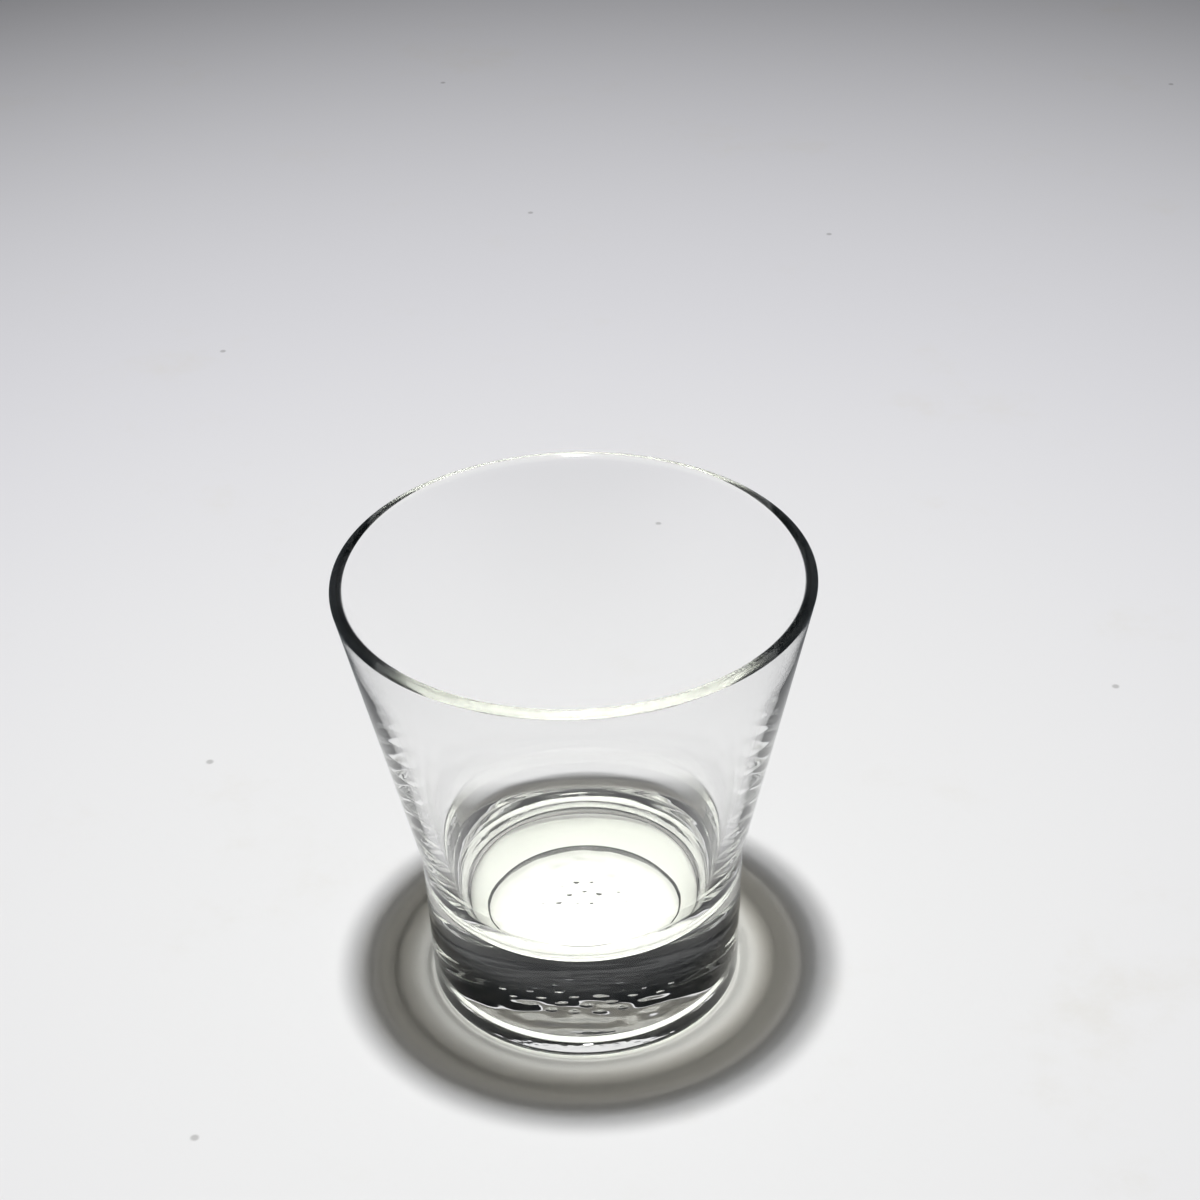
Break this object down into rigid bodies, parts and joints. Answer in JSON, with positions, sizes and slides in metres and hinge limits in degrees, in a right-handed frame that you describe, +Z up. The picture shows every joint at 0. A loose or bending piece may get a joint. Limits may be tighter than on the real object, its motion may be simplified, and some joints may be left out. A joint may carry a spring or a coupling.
{
  "type": "glass tumbler",
  "caption": "Flared clear pressed-glass tumbler with a straight heel, a thick base and a recessed underside, used as a small mixing glass.",
  "frame": {"origin": "centre of the foot ring, on the surface that the glass stands on", "axes": "+Z up, along the axis of the glass, towards its mouth; the glass is turned about +Z, so +X and +Y are free"},
  "size_m": [0.09, 0.09, 0.0921],
  "materials": {
    "clear_glass": "clear, fire-polished pressed soda-lime glass with a faint green tint"
  },
  "bodies": {
    "root": {"tumbler": "clear_glass"}
  },
  "joints": []
}
